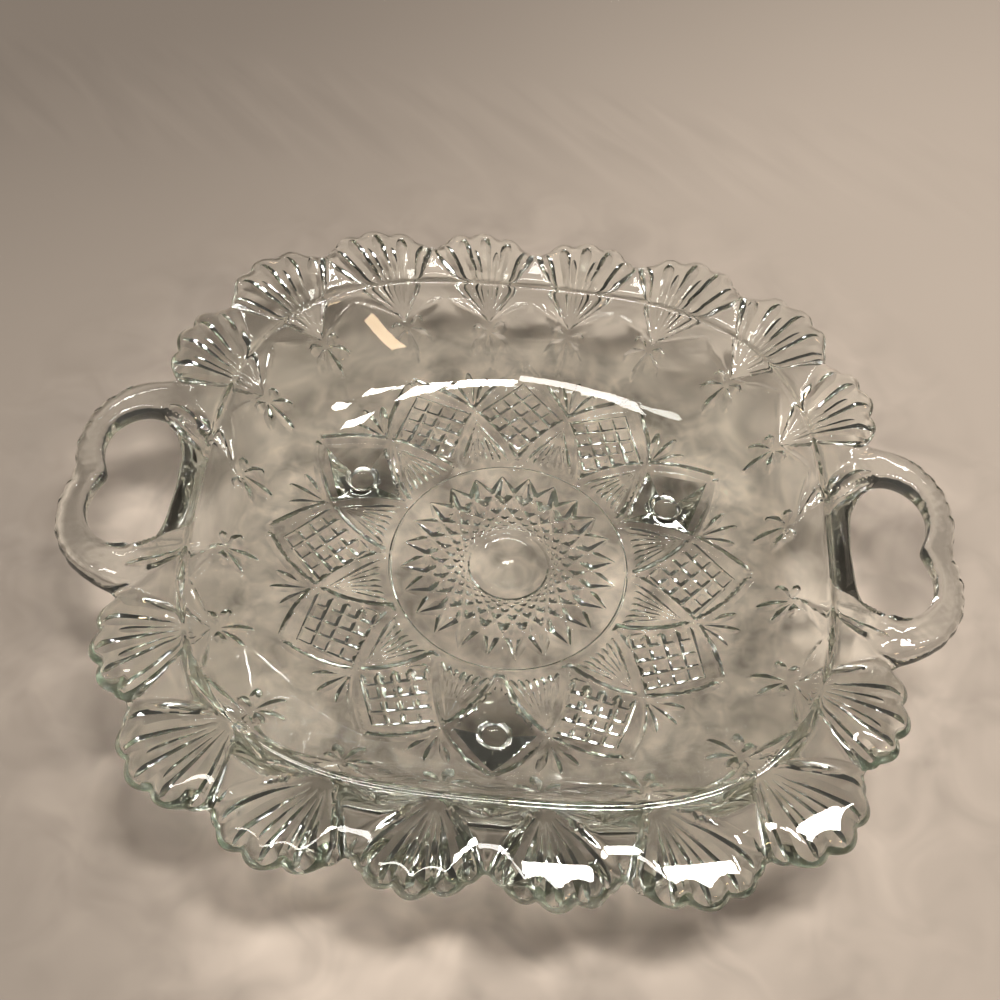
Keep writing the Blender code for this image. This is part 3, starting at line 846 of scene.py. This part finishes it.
def floor_material():
    mat = bpy.data.materials.new("pale_cloth")
    mat.use_nodes = True
    t = mat.node_tree
    bsdf = t.nodes["Principled BSDF"]
    co = node(t, "ShaderNodeTexCoord")
    tone = node(t, "ShaderNodeTexNoise")
    tone.inputs["Scale"].default_value = 7.0
    tone.inputs["Detail"].default_value = 3.0
    mix = node(t, "ShaderNodeMix", data_type="RGBA")
    mix.inputs["A"].default_value = (0.455, 0.385, 0.325, 1)
    mix.inputs["B"].default_value = (0.505, 0.43, 0.365, 1)
    t.links.new(co.outputs["Object"], tone.inputs["Vector"])
    t.links.new(tone.outputs["Fac"], mix.inputs["Factor"])

    def math_node(kind, a, b):
        n = node(t, "ShaderNodeMath", operation=kind)
        for i, v in enumerate((a, b)):
            if isinstance(v, (int, float)):
                n.inputs[i].default_value = v
            else:
                t.links.new(v, n.inputs[i])
        return n.outputs[0]

    def ranged(value, a, b, lo, hi):
        n = node(t, "ShaderNodeMapRange", interpolation_type="SMOOTHSTEP")
        n.inputs["From Min"].default_value, n.inputs["From Max"].default_value = a, b
        n.inputs["To Min"].default_value, n.inputs["To Max"].default_value = lo, hi
        t.links.new(value, n.inputs["Value"])
        return n.outputs["Result"]

    def noise(vector, scale, detail, distortion=0.0):
        n = node(t, "ShaderNodeTexNoise")
        n.inputs["Scale"].default_value, n.inputs["Detail"].default_value = scale, detail
        n.inputs["Distortion"].default_value = distortion
        t.links.new(vector, n.inputs["Vector"])
        return n.outputs["Fac"]

    sep = node(t, "ShaderNodeSeparateXYZ")
    t.links.new(co.outputs["Object"], sep.inputs["Vector"])
    x, y = sep.outputs["X"], sep.outputs["Y"]
    size = node(t, "ShaderNodeVectorMath", operation="LENGTH")
    t.links.new(co.outputs["Object"], size.inputs[0])
    r = size.outputs["Value"]
    # painted shade: the cloth is darker on the left, most of all at its far left corner
    painted_light_and_shade = math_node("MULTIPLY", ranged(x, -0.13, 0.13, 0.74, 1.0),
                    ranged(math_node("SUBTRACT", y, math_node("MULTIPLY", x, 0.6)), 0.10, 0.30, 1.0, 0.72))
    # the glass gathers light on the cloth below it and throws soft dapples around
    under = ranged(r, 0.072, 0.120, 1.0, 0.0)
    gain = math_node("MULTIPLY", under, ranged(y, -0.055, -0.010, 1.18, 1.43))
    painted_light_and_shade = math_node("ADD", math_node("MULTIPLY", painted_light_and_shade, math_node("SUBTRACT", 1.0, under)), gain)
    # painted light: lifts the cast shadow in a ring on the near side of the dish
    ring = math_node("MULTIPLY", ranged(r, 0.076, 0.090, 0.0, 0.4), ranged(r, 0.104, 0.135, 1.0, 0.0))
    ring = math_node("MULTIPLY", ring, ranged(y, -0.07, -0.01, 1.0, 0.0))
    ring = math_node("MULTIPLY", ring, math_node("MULTIPLY", ranged(x, -0.022, 0.004, 1.0, 0.0), ranged(x, -0.08, -0.04, 0.35, 1.0)))
    painted_light_and_shade = math_node("MULTIPLY", painted_light_and_shade, math_node("ADD", 1.0, ring))
    # shade below the near wall
    shade = math_node("MULTIPLY", ranged(r, 0.055, 0.060, 0.0, 1.0), ranged(r, 0.066, 0.073, 1.0, 0.0))
    shade = math_node("MULTIPLY", shade, ranged(y, -0.062, -0.050, 0.5, 0.0))
    painted_light_and_shade = math_node("MULTIPLY", painted_light_and_shade, math_node("SUBTRACT", 1.0, shade))
    # painted light: caustic dapples in the cloth's colour under and around the dish, with a finer painted sparkle under
    # the dish
    dapple = math_node("MULTIPLY", math_node("SUBTRACT", noise(co.outputs["Object"], 62.0, 2.0, 0.8), 0.5),
                       math_node("ADD", ranged(r, 0.09, 0.16, 0.9, 0.0), ranged(r, 0.075, 0.10, 0.9, 0.0)))
    sparkle = math_node("MULTIPLY", math_node("SUBTRACT", noise(co.outputs["Object"], 210.0, 2.0, 0.6), 0.5),
                        ranged(r, 0.060, 0.085, 1.3, 0.0))
    dapple = math_node("ADD", dapple, sparkle)
    # painted shade of the right handle, seen through its hole, and a painted pool of light beside the right wall
    for px, py, near, far, painted_tone in ((0.096, 0.019, 0.012, 0.024, 0.74), (0.066, 0.044, 0.010, 0.030, 1.28)):
        spot = node(t, "ShaderNodeVectorMath", operation="DISTANCE")
        spot.inputs[1].default_value = (px, py, 0)
        t.links.new(co.outputs["Object"], spot.inputs[0])
        painted_light_and_shade = math_node("MULTIPLY", painted_light_and_shade, ranged(spot.outputs["Value"], near, far, painted_tone, 1.0))
    # close shade at the three feet
    for deg in FOOT_ANGLES:
        away = node(t, "ShaderNodeVectorMath", operation="DISTANCE")
        away.inputs[1].default_value = (FOOT_R * MM * math.cos(math.radians(deg)), FOOT_R * MM * math.sin(math.radians(deg)), 0)
        t.links.new(co.outputs["Object"], away.inputs[0])
        painted_light_and_shade = math_node("MULTIPLY", painted_light_and_shade, ranged(away.outputs["Value"], 0.003, 0.015, 0.35, 1.0))
    # soft folds on the far side: a real bump, plus painted light and shade along them in the cloth's colour
    turn = node(t, "ShaderNodeMapping")
    turn.inputs["Rotation"].default_value = (0, 0, math.radians(45))
    t.links.new(co.outputs["Object"], turn.inputs["Vector"])
    stretch = node(t, "ShaderNodeMapping")
    stretch.inputs["Scale"].default_value = (22.0, 125.0, 1.0)
    t.links.new(turn.outputs["Vector"], stretch.inputs["Vector"])
    band = math_node("MULTIPLY", ranged(y, 0.136, 0.156, 0.0, 1.0), ranged(y, 0.180, 0.202, 1.0, 0.0))
    band = math_node("MULTIPLY", band, ranged(x, 0.03, 0.12, 1.0, 0.35))
    folds = math_node("MULTIPLY", math_node("SUBTRACT", noise(stretch.outputs["Vector"], 1.0, 1.0, 0.4), 0.5), band)
    # painted dapples, and painted light and shade along the folds, go into the cloth's colour
    painted_light_and_shade = math_node("MULTIPLY", painted_light_and_shade, math_node("ADD", 1.0, math_node("ADD", dapple, math_node("MULTIPLY", folds, 0.22))))
    shade = node(t, "ShaderNodeMix", data_type="RGBA", blend_type="MULTIPLY")
    shade.inputs["Factor"].default_value = 1.0
    t.links.new(mix.outputs["Result"], shade.inputs["A"])
    t.links.new(painted_light_and_shade, shade.inputs["B"])
    t.links.new(shade.outputs["Result"], bsdf.inputs["Base Color"])
    bump = node(t, "ShaderNodeBump")
    bump.inputs["Strength"].default_value = 0.4
    bump.inputs["Distance"].default_value = 0.003
    t.links.new(folds, bump.inputs["Height"])
    t.links.new(bump.outputs["Normal"], bsdf.inputs["Normal"])
    bsdf.inputs["Roughness"].default_value = 0.9
    bsdf.inputs["Specular IOR Level"].default_value = 0.1
    return mat


# ---------------------------------------------------------------- scene
glass = build_glass()
glass.data.materials.append(glass_material())
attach(glass, "root")
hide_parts("basin", "fan_rim_back", "fan_rim_front", "handle_left", "handle_right",
            "foot_front", "foot_back_left", "foot_back_right")

bpy.ops.mesh.primitive_plane_add(size=4.0, location=(0, 0, -0.0002))
floor = bpy.context.object
floor.name = "floor"
floor.data.materials.append(floor_material())


def area(name, loc, target, size, energy, color=(1, 1, 1)):
    light = bpy.data.lights.new(name, "AREA")
    light.shape = "RECTANGLE"
    light.size, light.size_y = size
    light.energy, light.color = energy, color
    ob = bpy.data.objects.new(name, light)
    bpy.context.scene.collection.objects.link(ob)
    ob.location = loc
    ob.rotation_euler = (Vector(target) - Vector(loc)).to_track_quat("-Z", "Y").to_euler()
    return ob


area("panel", (0.125, 0.03, 1.1), (0.125, 0.03, 0), (0.17, 0.14), 4.2, (1.0, 0.97, 0.93))
area("panel_right", (0.32, 0.03, 1.1), (0.32, 0.03, 0), (0.16, 0.14), 4.2, (1.0, 0.97, 0.93))
area("panel_end", (0.55, 0.20, 1.1), (0.55, 0.20, 0), (0.20, 0.07), 2.7, (1.0, 0.97, 0.93))
area("panel_left", (-0.19, -0.085, 1.1), (-0.19, -0.085, 0), (0.45, 0.13), 3.3, (1.0, 0.97, 0.93))
area("warm_lamp", (0.512, -0.402, 0.70), (0, 0, 0), (0.085, 0.07), 0.3, (1.0, 0.72, 0.45))

world = bpy.data.worlds.new("studio")
bpy.context.scene.world = world
world.use_nodes = True
wt = world.node_tree
bg = wt.nodes["Background"]
geo = node(wt, "ShaderNodeTexCoord")
sep = node(wt, "ShaderNodeSeparateXYZ")
ramp = node(wt, "ShaderNodeValToRGB")
ramp.color_ramp.elements[0].position = 0.0
ramp.color_ramp.elements[0].color = (0.022, 0.019, 0.015, 1)
ramp.color_ramp.elements[1].position = 1.0
ramp.color_ramp.elements[1].color = (0.085, 0.079, 0.07, 1)
e = ramp.color_ramp.elements.new(0.5)
e.color = (0.045, 0.041, 0.035, 1)
wt.links.new(geo.outputs["Generated"], sep.inputs["Vector"])
wt.links.new(sep.outputs["Z"], ramp.inputs["Fac"])
wt.links.new(ramp.outputs["Color"], bg.inputs["Color"])
bg.inputs["Strength"].default_value = 1.0

# camera fitted to the rim and floor pattern
FOCAL, DIST, EL, AZ, ROLL = 1290.0, 296.0, math.radians(55.3), math.radians(-0.84), math.radians(-6.1)
TARGET = Vector((-3.7, 2.1, 31.0))
back = Vector((math.sin(AZ) * math.cos(EL), -math.cos(AZ) * math.cos(EL), math.sin(EL)))
right = Vector((math.cos(AZ), math.sin(AZ), 0))
up = back.cross(right)
r2 = right * math.cos(ROLL) - up * math.sin(ROLL)
u2 = right * math.sin(ROLL) + up * math.cos(ROLL)
cam_data = bpy.data.cameras.new("camera")
cam = bpy.data.objects.new("camera", cam_data)
bpy.context.scene.collection.objects.link(cam)
cam_data.sensor_width = 36.0
cam_data.sensor_fit = "HORIZONTAL"
cam_data.lens = 36.0 * FOCAL / 1000.0
cam_data.clip_start = 0.005
pos = (TARGET + back * DIST) * MM
cam.matrix_world = Matrix(((r2.x, u2.x, back.x, pos.x), (r2.y, u2.y, back.y, pos.y), (r2.z, u2.z, back.z, pos.z), (0, 0, 0, 1)))
bpy.context.scene.camera = cam

cycles = bpy.context.scene.cycles
cycles.max_bounces, cycles.glossy_bounces, cycles.transmission_bounces = 32, 24, 24
cycles.sample_clamp_indirect = 60.0
bpy.context.scene.view_settings.view_transform = "Standard"
